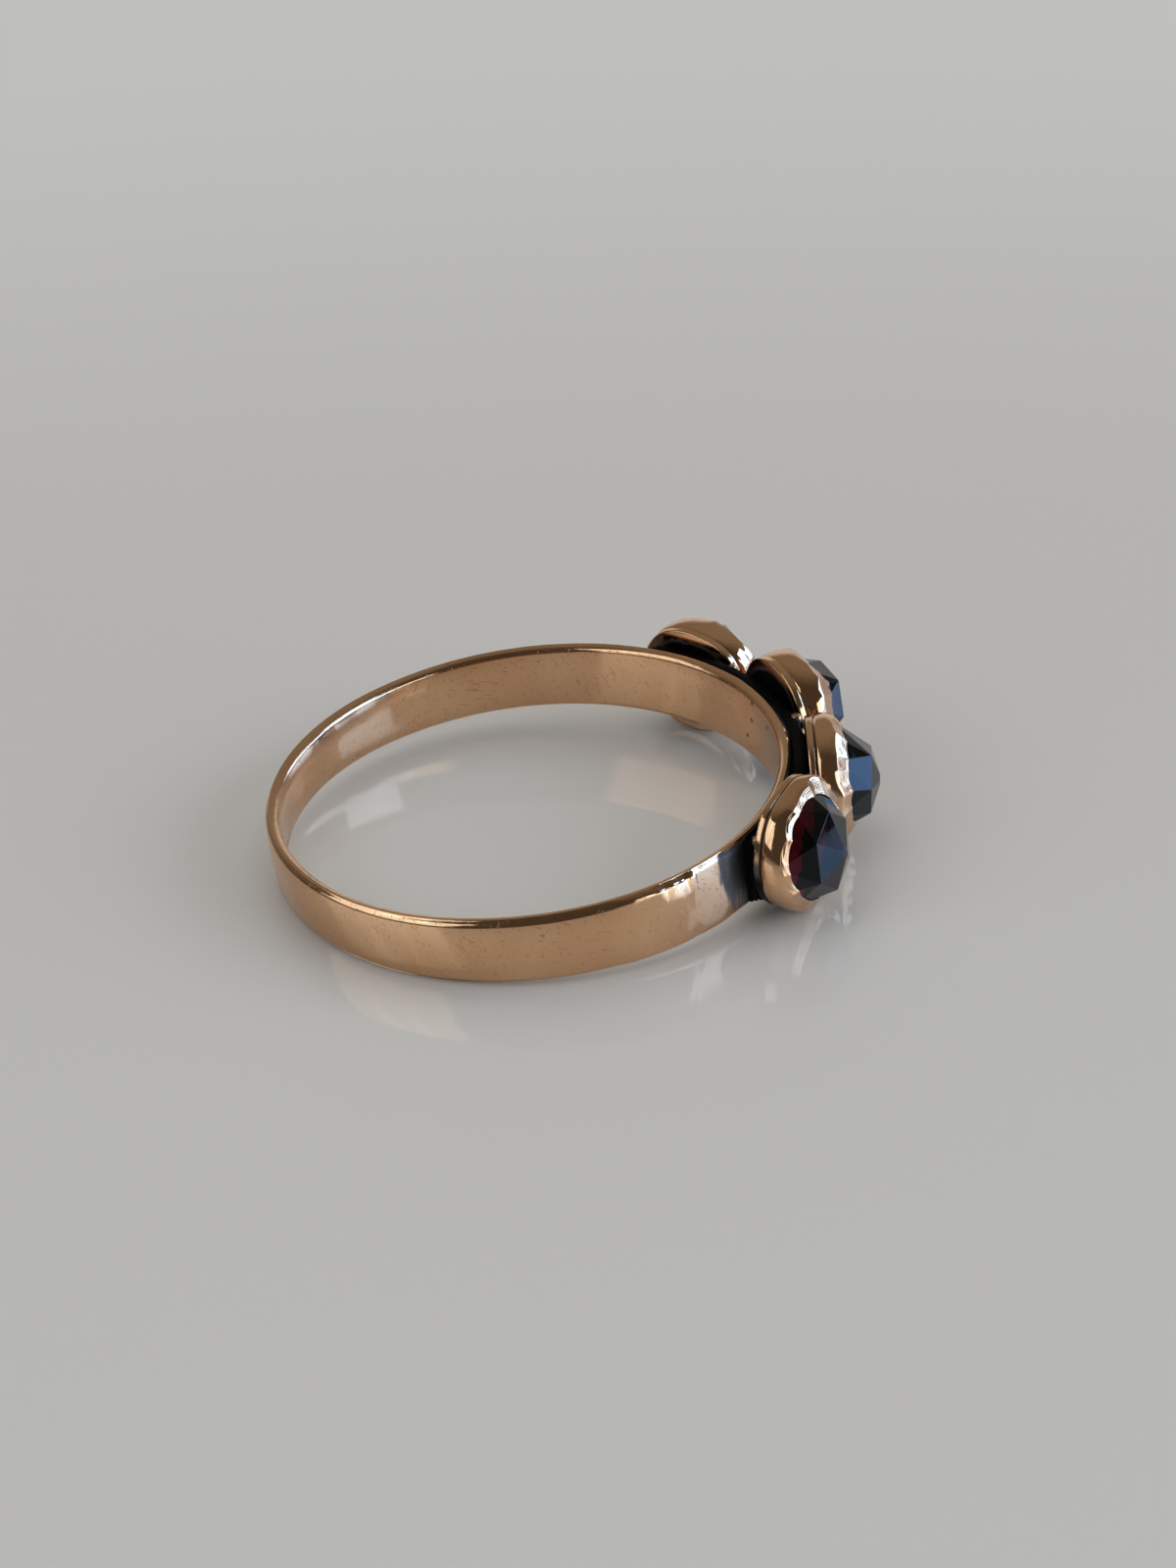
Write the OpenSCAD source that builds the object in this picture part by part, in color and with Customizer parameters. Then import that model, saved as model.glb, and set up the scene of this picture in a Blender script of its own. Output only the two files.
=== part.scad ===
// A thin finger ring with a row of four round stones, each in its own closed-back, rubbed-over collet.
// It is drawn upright on the finger's axis, stones facing -Y, and then laid down at rest on the plane z = 0.
// The origin is the middle of the ring's footprint on that plane.

/* [Band] */
// Inside radius of the band, where the finger goes in
bore_r = 8.75; // [8:0.05:10]
// Thickness of the band's wall
band_wall = 0.55; // [0.45:0.05:0.9]
// Width of the band under the stones
head_w = 2.75; // [2.4:0.05:3]
// Width of the band opposite the stones
back_w = 2.25; // [2:0.05:2.4]
// Radius of the dome that each rim of the band is rounded to
rim_dome_r = 0.4; // [0.36:0.02:0.6]

/* [Row of collets] */
// Angle between two neighbouring collets, seen along the finger
pitch = 27.2; // [27:0.1:30]
// How far each hand-set collet sits above the middle of the band, from the first to the last
collet_rise = [0.34, 0.12, 0.1, -0.08]; // [-0.4:0.01:0.4]
// Angle by which each hand-set collet faces away from straight out, from the first to the last
collet_facing = [-2.5, 0.5, 0, 0]; // [-4:0.5:4]
// Thickness of the saddle between the band and the back plates
saddle_t = 0.45; // [0.3:0.05:0.6]
// Width of the saddle
saddle_w = 2.4; // [1.6:0.1:2.4]
// How far the saddle runs past the middle of the first and last collet, as an angle
saddle_end = 9; // [5:1:12]

/* [Collets] */
// Radius of a collet's back plate
plate_r = 2.2; // [2.1:0.01:2.25]
// Thickness of a collet's back plate
plate_t = 0.22; // [0.18:0.02:0.3]
// Largest outside radius of a collet's wall
belly_r = 2.27; // [2.2:0.01:2.32]
// Height of a collet, from the back of its plate to the top of its lip
collet_h = 1.32; // [1.2:0.02:1.5]
// Radius of the opening that the lip leaves over the stone
lip_opening_r = 1.86; // [1.85:0.01:1.9]

/* [Garnets] */
// Radius of a stone's girdle
girdle_r = 2; // [1.95:0.01:2]
// Distance from the middle of a crown to each corner of the small flat at its top
table_r = 0.22; // [0.1:0.02:0.4]
// Turn of each stone in its collet, from the first to the last
stone_turn = [20, -14, 10, 40]; // [-30:1:60]
// Distance from the middle of each crown to the corners of its hexagon of star facets
star_r = [1.36, 1.2, 1.34, 1.38]; // [1.1:0.02:1.4]
// Height of each stone's hexagon of star facets above the lip
star_rise = [0.54, 0.83, 0.93, 0.86]; // [0.5:0.01:0.94]
// Height of the top of each stone above the lip
top_rise = [0.96, 1.14, 1.1, 1.12]; // [0.96:0.02:1.3]
// How far the middle of each crown was cut off the middle of its stone, along the band
crown_along = [0.06, -0.1, 0.02, -0.04]; // [-0.12:0.01:0.12]
// How far the middle of each crown was cut off the middle of its stone, across the band
crown_across = [0.12, -0.24, 0.05, 0.05]; // [-0.24:0.01:0.24]
// Slope that each crown was cut at, along the band
slope_along = [-0.07, 0.06, 0, 0.03]; // [-0.1:0.01:0.1]
// Slope that each crown was cut at, across the band
slope_across = [-0.14, 0.06, 0.1, -0.05]; // [-0.14:0.01:0.14]

/* [Hidden] */

stones = 4;
round_fn = 96;
solder_fn = 24;
// How far blanks and cutters run past what they shape
spare = 1;

// Band
band_r = bore_r + band_wall;
mid_r = bore_r + band_wall / 2;
mean_half_w = (head_w + back_w) / 4;
rim_slope = atan((head_w - back_w) / (4 * mid_r));
rim_cut_depth = 0.2;

// Collet profile, measured out from the middle of the collet and up from the back of its plate
plate_back_d = band_r + saddle_t;
plate_edge_chamfer = 0.04;
groove_r = plate_r - 0.12;
groove_bevel = 0.03;
groove_top_h = plate_t + 0.1;
belly_h = 0.62;
belly_curve_r = 1.1;
belly_angles = [-16, 24];
belly_steps = 8;
lip_curve_r = 0.16;
lip_inset = 0.06;
lip_angles = [42, 112];
lip_steps = 6;
cup_r = girdle_r + 0.04;
seat_r = cup_r - 0.3;
seat_h = 0.5;
grip_h = collet_h - 0.3;

// Stone profile, on the same scale
stone_gap = 0.03;
stone_base_h = seat_h + stone_gap;
girdle_h = grip_h - 0.12;
stars = 6;
sides = 2 * stars;
row_top_h = collet_h + (top_rise[1] + top_rise[stones - 2]) / 2;

// Saddle: its outside sinks a little into the flat plates
saddle_r = plate_back_d + 0.1;
saddle_span = (stones - 1) * pitch + 2 * saddle_end;

// Solder between neighbouring plates
solder_r = 0.26;
solder_d = plate_back_d + 0.12;
solder_spread = 0.55;

// Lying down: the ring rests on the outer two collets and on the rim at the back of the band. Each fall is
// the slope of the resting plane as the upright ring sees it, and the rim's contact is solved for on its circle.
belly_d = plate_back_d + belly_h;
row_x = belly_d * sin(1.5 * pitch);
row_y = belly_d * cos(1.5 * pitch);
taper = tan(rim_slope);
side_fall = (collet_rise[0] - collet_rise[stones - 1]) / (2 * row_x);
head_drop = belly_r - (collet_rise[0] + collet_rise[stones - 1]) / 2 - mean_half_w - row_y * taper;
rim_spare = mid_r * mid_r - row_y * row_y;
rim_fall = (mid_r * sqrt(head_drop * head_drop - side_fall * side_fall * rim_spare)
    - head_drop * row_y) / rim_spare;
head_fall = rim_fall + taper;
rest_tilt = atan(head_fall);
rest_lean = -atan(side_fall * cos(rest_tilt));
foot_shift = ((plate_back_d + row_top_h) * cos(pitch / 2) - band_r) / 2;
rest_lift = (mean_half_w + mid_r * norm([side_fall, rim_fall])) / norm([side_fall, head_fall, 1]);

// Angle of collet i about the finger's axis
function collet_angle(i) = -90 + (i - (stones - 1) / 2) * pitch;

// Points along an arc in steps, from the first angle to the second
function arc(centre, r, angles, steps) =
    [for (k = [0:steps], a = angles[0] + (angles[1] - angles[0]) * k / steps) centre + r * [cos(a), sin(a)]];

// Corner k of a ring of n points about the middle of a stone
function ring_point(n, k, r, turn) = r * [cos(360 * k / n + turn), sin(360 * k / n + turn)];

// A corner of stone i on its crown, which is cut off the middle and at a slope
function crown_point(i, corner, rise) = [
    crown_along[i] + corner[0],
    crown_across[i] + corner[1],
    collet_h + rise + slope_along[i] * corner[0] + slope_across[i] * corner[1]];

module at_rest() {
    translate([0, foot_shift, rest_lift])
        rotate([-rest_tilt, rest_lean, 0])
            children();
}

// Puts a child drawn on its own +Z axis where collet i stands, with its +X along the band
module on_collet(i) {
    rotate([0, 0, collet_angle(i) + 90])
        translate([0, -plate_back_d, collet_rise[i]])
            rotate([90, 0, collet_facing[i]])
                children();
}

// What lies beyond one domed rim of the band
module rim_waste() {
    rotate_extrude($fn = round_fn)
        difference() {
            translate([mid_r - spare, mean_half_w - rim_dome_r + rim_cut_depth])
                square(2 * spare);
            translate([mid_r, mean_half_w - rim_dome_r])
                circle(r = rim_dome_r, $fn = round_fn);
        }
}

module band_blank() {
    cylinder(h = head_w + spare, r = band_r, center = true, $fn = round_fn);
}

module finger_bore() {
    cylinder(h = head_w + 2 * spare, r = bore_r, center = true, $fn = round_fn);
}

module rims() {
    for (side = [0, 1])
        mirror([0, 0, side])
            rotate([-rim_slope, 0, 0])
                rim_waste();
}

module saddle() {
    rotate([0, 0, -90 - saddle_span / 2])
        rotate_extrude(angle = saddle_span, $fn = round_fn)
            translate([mid_r, -saddle_w / 2])
                square([saddle_r - mid_r, saddle_w]);
}

// Outline of one collet's wall and plate, turned about the collet's own axis
function collet_outline() = concat(
    [[0, 0], [plate_r - plate_edge_chamfer, 0], [plate_r, plate_edge_chamfer],
        [plate_r, plate_t - plate_edge_chamfer], [plate_r - plate_edge_chamfer, plate_t],
        [groove_r, plate_t + groove_bevel], [groove_r, groove_top_h - groove_bevel]],
    arc([belly_r - belly_curve_r, belly_h], belly_curve_r, belly_angles, belly_steps),
    arc([lip_opening_r + lip_inset, collet_h - lip_curve_r], lip_curve_r, lip_angles, lip_steps),
    [[cup_r, grip_h], [cup_r, seat_h], [seat_r, seat_h], [seat_r, plate_t], [0, plate_t]]);

module collet() {
    rotate_extrude($fn = round_fn)
        polygon(collet_outline());
}

module solder_beads() {
    for (i = [0:stones - 2], side = [-1, 1])
        rotate([0, 0, collet_angle(i) + pitch / 2])
            translate([solder_d, 0, side * solder_spread])
                sphere(r = solder_r, $fn = solder_fn);
}

module ring_metal() {
    color([0.80, 0.56, 0.42])
        at_rest()
            difference() {
                union() {
                    difference() {
                        band_blank();
                        rims();
                    }
                    saddle();
                    solder_beads();
                    for (i = [0:stones - 1])
                        on_collet(i)
                            collet();
                }
                finger_bore();
            }
}

// A rose-cut stone: flat base, upright girdle, eighteen lower facets, six star facets and a small flat
module rose_cut(i) {
    outer = [for (k = [0:sides - 1]) ring_point(sides, k, girdle_r, stone_turn[i])];
    base = [for (p = outer) [p[0], p[1], stone_base_h]];
    girdle = [for (p = outer) [p[0], p[1], girdle_h]];
    star = [for (k = [0:stars - 1])
        crown_point(i, ring_point(stars, k, star_r[i], stone_turn[i]), star_rise[i])];
    table = [for (k = [0:stars - 1])
        crown_point(i, ring_point(stars, k, table_r, stone_turn[i]), top_rise[i])];
    function b(k) = k % sides;
    function g(k) = sides + (k + sides) % sides;
    function s(k) = 2 * sides + k % stars;
    function t(k) = 2 * sides + stars + k % stars;
    faces = concat(
        [[for (k = [0:sides - 1]) b(k)]],
        [for (k = [0:sides - 1]) [b(k + 1), b(k), g(k), g(k + 1)]],
        [for (k = [0:stars - 1]) [s(k), s(k + 1), g(2 * k + 1)]],
        [for (k = [0:stars - 1]) [s(k), g(2 * k + 1), g(2 * k)]],
        [for (k = [0:stars - 1]) [s(k), g(2 * k), g(2 * k - 1)]],
        [for (k = [0:stars - 1]) [s(k), t(k), t(k + 1), s(k + 1)]],
        [[for (k = [stars - 1:-1:0]) t(k)]]);
    polyhedron(points = concat(base, girdle, star, table), faces = faces);
}

module garnet(i) {
    color([0.22, 0.02, 0.04])
        at_rest()
            on_collet(i)
                rose_cut(i);
}

module garnet_1() garnet(0);
module garnet_2() garnet(1);
module garnet_3() garnet(2);
module garnet_4() garnet(3);

ring_metal();
garnet_1();
garnet_2();
garnet_3();
garnet_4();
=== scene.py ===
import math

import bmesh
import bpy
import numpy as np
from mathutils import Matrix, Vector
from mathutils.bvhtree import BVHTree


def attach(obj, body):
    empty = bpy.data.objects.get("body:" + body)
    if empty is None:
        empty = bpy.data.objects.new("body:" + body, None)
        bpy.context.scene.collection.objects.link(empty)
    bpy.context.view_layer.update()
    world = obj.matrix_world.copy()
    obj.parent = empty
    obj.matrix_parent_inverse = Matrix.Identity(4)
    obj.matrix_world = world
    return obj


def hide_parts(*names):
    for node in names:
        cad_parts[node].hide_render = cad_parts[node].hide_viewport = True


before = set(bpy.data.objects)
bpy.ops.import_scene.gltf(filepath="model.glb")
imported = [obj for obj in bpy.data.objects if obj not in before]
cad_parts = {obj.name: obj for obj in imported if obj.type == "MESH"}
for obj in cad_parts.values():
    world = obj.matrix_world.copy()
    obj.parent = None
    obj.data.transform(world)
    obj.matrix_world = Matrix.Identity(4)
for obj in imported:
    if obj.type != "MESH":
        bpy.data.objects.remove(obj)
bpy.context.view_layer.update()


# The band. A flat strip of rose gold bent round and soldered, a little wider at the stones than at the back,
# with rounded edges. It is polished by hand, so its faces are never quite true, and it is worn and
# scratched. Beside the outer collets it is burnt dark blue-grey by the soldering.
BORE_R = 8.75
BAND_WALL = 0.55
MID_R = BORE_R + BAND_WALL / 2
BAND_R = BORE_R + BAND_WALL
MEAN_W = 2.5
TAPER = 0.5 / (4 * MID_R)
CORNER_R = 0.23
RIPPLE = 0.03

# The ring is drawn upright in millimetres, then laid on two collets and the rim at the back
REST_PLACE = (0, 0.00127412, 0.00170837)
REST_TURN_X = -3.12276
REST_TURN_Y = -1.7725
METRES = 0.001
LAID = (
    Matrix.Translation(REST_PLACE)
    @ Matrix.Rotation(math.radians(REST_TURN_Y), 4, "Y")
    @ Matrix.Rotation(math.radians(REST_TURN_X), 4, "X")
    @ Matrix.Scale(METRES, 4)
)


def add(tree, kind, wires=(), **settings):
    """One node with its own settings; wires are (socket, value or another node's output)."""
    made = tree.nodes.new(kind)
    for name, value in settings.items():
        setattr(made, name, value)
    for socket, value in dict(wires).items():
        if isinstance(value, bpy.types.NodeSocket):
            tree.links.new(value, made.inputs[socket])
        else:
            made.inputs[socket].default_value = value
    return made


def math_node(tree, operation, *values, clamp=False):
    """One sum on these values or outputs."""
    return add(tree, "ShaderNodeMath", dict(enumerate(values)), operation=operation,
               use_clamp=clamp).outputs[0]


def times(tree, first, second):
    return math_node(tree, "MULTIPLY", first, second)


def ramp(tree, value, low, high, start=0.0, end=1.0):
    """value from low to high becomes start to end, with soft ends."""
    return add(tree, "ShaderNodeMapRange",
               {"Value": value, "From Min": low, "From Max": high, "To Min": start, "To Max": end},
               interpolation_type="SMOOTHSTEP").outputs["Result"]


def noise(tree, **wires):
    """A cloudy pattern; the wires are its sockets by name."""
    return add(tree, "ShaderNodeTexNoise", wires).outputs["Fac"]


def mix_colour(tree, share, first, second):
    """The first colour, with this share of the second."""
    share_socket, first_socket, second_socket = 0, 6, 7
    made = add(tree, "ShaderNodeMix", data_type="RGBA", blend_type="MIX")
    for number, value in ((share_socket, share), (first_socket, first), (second_socket, second)):
        if isinstance(value, bpy.types.NodeSocket):
            tree.links.new(value, made.inputs[number])
        else:
            made.inputs[number].default_value = value
    return made.outputs[2]


def object_place(tree):
    return add(tree, "ShaderNodeTexCoord").outputs["Object"]


# Three runs of scratches: how each is turned, and how far it is stretched along each axis
SCRATCH_RUNS = (
    ((0.25, 0.1, 0.1), (1, 14, 1)),
    ((0.75, 0.1, 0.5), (1, 1, 9)),
    ((-0.45, 0.3, 0.2), (1, 1, 7)),
)
SCRATCH_SPAN = (0.685, 0.735)


def polish_group():
    """Hand polish: hairline scratches, smears and a slow change of tone, from Object coordinates."""
    group = bpy.data.node_groups.new("hand_polish", "ShaderNodeTree")
    face = group.interface
    for name, value in (("Smear Size", 700.0), ("Scratch Size", 13000.0), ("Scratches", 0.5)):
        face.new_socket(name, in_out="INPUT", socket_type="NodeSocketFloat").default_value = value
    for name in ("Smear", "Scratch", "Tone"):
        face.new_socket(name, in_out="OUTPUT", socket_type="NodeSocketFloat")
    given = group.nodes.new("NodeGroupInput").outputs
    out = group.nodes.new("NodeGroupOutput").inputs
    place = object_place(group)
    smear = noise(group, Vector=place, Scale=given["Smear Size"], Detail=6.0, Roughness=0.62)
    tone = noise(group, Vector=place, Scale=240.0, Detail=3.0)
    lines = []
    for turn, stretch in SCRATCH_RUNS:
        turned = add(group, "ShaderNodeMapping", {"Vector": place, "Rotation": turn, "Scale": stretch},
                     vector_type="TEXTURE").outputs[0]
        hair = noise(group, Vector=turned, Scale=given["Scratch Size"], Detail=1.0)
        lines.append(ramp(group, hair, *SCRATCH_SPAN))
    worst = math_node(group, "MAXIMUM", math_node(group, "MAXIMUM", lines[0], lines[1]), lines[2])
    group.links.new(smear, out["Smear"])
    group.links.new(times(group, worst, given["Scratches"]), out["Scratch"])
    group.links.new(tone, out["Tone"])
    return group


POLISH = polish_group()
GOLD = (0.80, 0.495, 0.285, 1)
GOLD_DEEP = (0.73, 0.425, 0.235, 1)
TONE_SPAN = (0.38, 0.68)
DIRT = (0.12, 0.065, 0.04, 1)
DIRT_IN_PITS = 0.95
DIRT_IN_SCRATCHES = 0.45
PIT_SPAN = (0.00013, 0.00006)

# Heat first blues the gold, then blackens it: both colours, and how burnt it is where each starts and ends
BLUED = (0.150, 0.139, 0.142, 1)
BLACK = (0.010, 0.010, 0.012, 1)
BLUED_SPAN = (0.12, 0.42)
BLACK_SPAN = (0.62, 0.95)

# The marks of a fine brush across the band: their grain and stretch, and how ragged they leave a burnt edge
BRUSH_SIZE = 9000.0
BRUSH_STRETCH = (1, 1, 0.045)
BRUSH_RAGGED = 0.9

# Roughness: how much more the smears, scratches, burnt places and filed places have
SMEAR_SPAN = (0.35, 0.75)
SMEARED = 2.2
SCRATCHED_ROUGH = 0.12
BURNT_ROUGH = 0.44
FILED_ROUGH = 0.12

# Relief: heights of the smears, of the scratches and pits, and of the file's marks
SMEAR_HEIGHT = 0.25
SCRATCH_HEIGHT = -0.6
FILED_HEIGHT = 0.5
RELIEF_DEPTH = 0.00001


def gold_material(name, roughness, scratches, bump, brushed, pits=()):
    """Rose gold with hand polish. The attribute 'burnt' blues and then blackens it, 'filed' scours it."""
    material = bpy.data.materials.new(name)
    material.use_nodes = True
    tree = material.node_tree
    surface = tree.nodes["Principled BSDF"].inputs
    polish = add(tree, "ShaderNodeGroup", node_tree=POLISH)
    polish.inputs["Scratches"].default_value = scratches
    smear, scratch, tone = (polish.outputs[n] for n in ("Smear", "Scratch", "Tone"))
    burnt = add(tree, "ShaderNodeAttribute", attribute_name="burnt").outputs["Fac"]
    filed = add(tree, "ShaderNodeAttribute", attribute_name="filed").outputs["Fac"]
    place = object_place(tree)
    stripes = add(tree, "ShaderNodeMapping", {"Vector": place, "Scale": BRUSH_STRETCH}).outputs[0]
    brush = noise(tree, Vector=stripes, Scale=BRUSH_SIZE, Detail=3.0, Roughness=0.7)
    ragged = times(tree, math_node(tree, "SUBTRACT", brush, 0.5), BRUSH_RAGGED)
    edge = math_node(tree, "ADD", burnt, times(tree, ragged, brushed))
    blued = ramp(tree, edge, *BLUED_SPAN)
    black = ramp(tree, edge, *BLACK_SPAN)
    pitted = 0.0
    for spot in pits:
        away = add(tree, "ShaderNodeVectorMath", {0: place, 1: spot}, operation="DISTANCE").outputs["Value"]
        pitted = math_node(tree, "MAXIMUM", pitted, ramp(tree, away, *PIT_SPAN))

    warm = mix_colour(tree, ramp(tree, tone, *TONE_SPAN), GOLD, GOLD_DEEP)
    marks = math_node(tree, "MAXIMUM", times(tree, pitted, DIRT_IN_PITS),
                      times(tree, scratch, DIRT_IN_SCRATCHES))
    marked = mix_colour(tree, marks, warm, DIRT)
    greyed = mix_colour(tree, blued, marked, BLUED)
    tree.links.new(mix_colour(tree, black, greyed, BLACK), surface["Base Color"])
    surface["Metallic"].default_value = 1.0

    rough = math_node(tree, "ADD", ramp(tree, smear, *SMEAR_SPAN, roughness, roughness * SMEARED),
                      times(tree, scratch, SCRATCHED_ROUGH))
    scoured = math_node(tree, "MAXIMUM", times(tree, blued, BURNT_ROUGH), times(tree, filed, FILED_ROUGH))
    tree.links.new(math_node(tree, "ADD", rough, scoured, clamp=True), surface["Roughness"])

    height = math_node(tree, "ADD", times(tree, smear, SMEAR_HEIGHT),
                       times(tree, math_node(tree, "MAXIMUM", scratch, pitted), SCRATCH_HEIGHT))
    scored = math_node(tree, "MAXIMUM", times(tree, blued, brushed), times(tree, filed, FILED_HEIGHT))
    relief = add(tree, "ShaderNodeBump",
                 {"Height": math_node(tree, "ADD", height, times(tree, brush, scored)),
                  "Strength": bump, "Distance": RELIEF_DEPTH})
    tree.links.new(relief.outputs[0], surface["Normal"])
    return material


# Four pits inside the band, under the stones
PITS = ((0.00165, -0.00724, 0.00334), (0.00178, -0.00726, 0.00259), (0.00034, -0.00741, 0.00297),
        (0.00221, -0.00721, 0.00178))
BAND_GOLD = gold_material("rose_gold_band", roughness=0.07, scratches=0.75, bump=0.5, brushed=0.45,
                          pits=PITS)


def piece_tree(name, sizes):
    """A Geometry Nodes tree with these sizes and a material as inputs: the tree, its inputs and its output."""
    tree = bpy.data.node_groups.new(name, "GeometryNodeTree")
    face = tree.interface
    face.new_socket("Geometry", in_out="INPUT", socket_type="NodeSocketGeometry")
    for size in sizes:
        face.new_socket(size, in_out="INPUT", socket_type="NodeSocketFloat")
    face.new_socket("Material", in_out="INPUT", socket_type="NodeSocketMaterial")
    face.new_socket("Geometry", in_out="OUTPUT", socket_type="NodeSocketGeometry")
    given = tree.nodes.new("NodeGroupInput").outputs
    out = tree.nodes.new("NodeGroupOutput").inputs[0]
    return tree, given, out


def uneven(tree, shape, depth, **waves):
    """The shape pushed in and out along its normals, by cloudy waves of this depth."""
    place = add(tree, "GeometryNodeInputPosition").outputs[0]
    push = times(tree, math_node(tree, "SUBTRACT", noise(tree, Vector=place, **waves), 0.5), depth)
    normal = add(tree, "GeometryNodeInputNormal").outputs[0]
    offset = add(tree, "ShaderNodeVectorMath", {0: normal, "Scale": push}, operation="SCALE").outputs[0]
    return add(tree, "GeometryNodeSetPosition", {"Geometry": shape, "Offset": offset}).outputs[0]


def dress(tree, shape, material, out):
    """Ends a tree with a smooth, plain mesh in this material."""
    smooth = add(tree, "GeometryNodeSetShadeSmooth", {"Geometry": shape}).outputs[0]
    real = add(tree, "GeometryNodeRealizeInstances", {"Geometry": smooth}).outputs[0]
    dressed = add(tree, "GeometryNodeSetMaterial", {"Geometry": real, "Material": material})
    tree.links.new(dressed.outputs[0], out)


def band_tree():
    """A rounded rectangle swept round the finger, tapered to the back and rippled by hand polish."""
    tree, given, out = piece_tree(
        "band_sweep", ("Middle Radius", "Wall", "Mean Width", "Taper", "Corner Radius", "Ripple"))
    round_line = add(tree, "GeometryNodeCurvePrimitiveCircle",
                     {"Resolution": 480, "Radius": given["Middle Radius"]})
    section = add(tree, "GeometryNodeCurvePrimitiveQuadrilateral",
                  {"Width": given["Wall"], "Height": given["Mean Width"]})
    soft = add(tree, "GeometryNodeFilletCurve",
               {"Curve": section.outputs[0], "Radius": given["Corner Radius"], "Count": 7}, mode="POLY")
    fine = add(tree, "GeometryNodeSubdivideCurve", {"Curve": soft.outputs[0], "Cuts": 2})
    sweep = add(tree, "GeometryNodeCurveToMesh",
                {"Curve": round_line.outputs[0], "Profile Curve": fine.outputs[0]})
    xyz = add(tree, "ShaderNodeSeparateXYZ",
              {0: add(tree, "GeometryNodeInputPosition").outputs[0]}).outputs
    side = math_node(tree, "DIVIDE", xyz["Z"], times(tree, given["Mean Width"], 0.5))
    spread = times(tree, times(tree, side, xyz["Y"]), times(tree, given["Taper"], -1.0))
    offset = add(tree, "ShaderNodeCombineXYZ", {"Z": spread}).outputs[0]
    tapered = add(tree, "GeometryNodeSetPosition", {"Geometry": sweep.outputs[0], "Offset": offset})
    rippled = uneven(tree, tapered.outputs[0], given["Ripple"], Scale=0.32, Detail=2.0, Roughness=0.45)
    dress(tree, rippled, given["Material"], out)
    return tree


def show(name, data):
    """Puts a mesh, a light or a camera in the scene as an object of this name."""
    made = bpy.data.objects.new(name, data)
    bpy.context.scene.collection.objects.link(made)
    return made


def grown(name, tree, values, points=()):
    """A plain mesh object of what the tree makes from the named values, and from these points."""
    seed = show(name + "_seed", bpy.data.meshes.new(name + "_seed"))
    seed.data.from_pydata(points, [], [])
    modifier = seed.modifiers.new("make", "NODES")
    modifier.node_group = tree
    for socket in tree.interface.items_tree:
        if socket.in_out == "INPUT" and socket.name in values:
            modifier[socket.identifier] = values[socket.name]
    bpy.context.view_layer.update()
    ready = seed.evaluated_get(bpy.context.evaluated_depsgraph_get())
    mesh = bpy.data.meshes.new_from_object(ready)
    mesh.name = name
    bpy.data.objects.remove(seed)
    return show(name, mesh)


def points_of(mesh):
    flat = np.zeros(len(mesh.vertices) * 3)
    mesh.vertices.foreach_get("co", flat)
    return flat.reshape(-1, 3)


def note(mesh, name, amount):
    """Writes how burnt or how filed each point is."""
    mesh.attributes.new(name, "FLOAT", "POINT").data.foreach_set("value", np.float32(amount))


def share_of(value, low, high):
    """How far value has come from low to high, from 0 to 1."""
    return np.clip((value - low) / (high - low), 0, 1)


def soft_step(value, low, high):
    """The same, with soft ends."""
    t = share_of(value, low, high)
    return t * t * (3 - 2 * t)


def ripples(along, rows):
    """Uneven waves along a value: each row is a wave's size, how fast it goes and where it starts."""
    return sum(size * np.sin(along * rate + start) for size, rate, start in rows)


def outwards(mesh):
    """Turns every face of a closed mesh outwards."""
    work = bmesh.new()
    work.from_mesh(mesh)
    bmesh.ops.recalc_face_normals(work, faces=work.faces)
    work.to_mesh(mesh)
    work.free()


def lay_down(piece):
    """Takes a finished piece from the upright ring to where it rests, and rides it on the part."""
    piece.data.transform(LAID)
    piece.data.update()
    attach(piece, "root")
    return piece


band = grown("band", band_tree(), {
    "Middle Radius": MID_R, "Wall": BAND_WALL, "Mean Width": MEAN_W, "Taper": TAPER,
    "Corner Radius": CORNER_R, "Ripple": RIPPLE, "Material": BAND_GOLD})
outwards(band.data)

# The burnt patch beside each outer collet, in degrees from the middle of the row: its ragged edge, which is
# drawn in at the foot, and the black line beside the plate
PATCH_END = 58.2
PATCH_RIPPLES = ((0.9, 2.1, 0.4), (0.5, 5.3, 0.0), (0.35, 13.0, 0.0))
PATCH_DRAWN_IN = 0.8
PATCH_FOOT = (-0.2, -1.0)
PATCH_EDGE = 0.9
PATCH_DEEPENS = 6
PLATE_EDGE = (50.0, 49.0)

# How burnt it is: all over, more towards the top, more towards the plate, and beside the plate
PATCH_BURNT = 0.37
PATCH_BURNT_UP = 0.05
PATCH_HEIGHTS = (-0.6, 1.0)
PATCH_BURNT_IN = 0.06
PLATE_EDGE_BURNT = 0.5

# The lower edge of the outer face stayed gold, and the outer part of both rims is black beside the plates
LOW_EDGE_GOLD = (0.30, 0.18)
LOW_EDGE_STARTS = (50.5, 53)
BURNT_FACE = (BAND_R - 0.12, BAND_R - 0.05)
BLACK_RIM = (BORE_R + 0.46, BORE_R + 0.54)
BLACK_RIM_ENDS = (50, 53)


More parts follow.
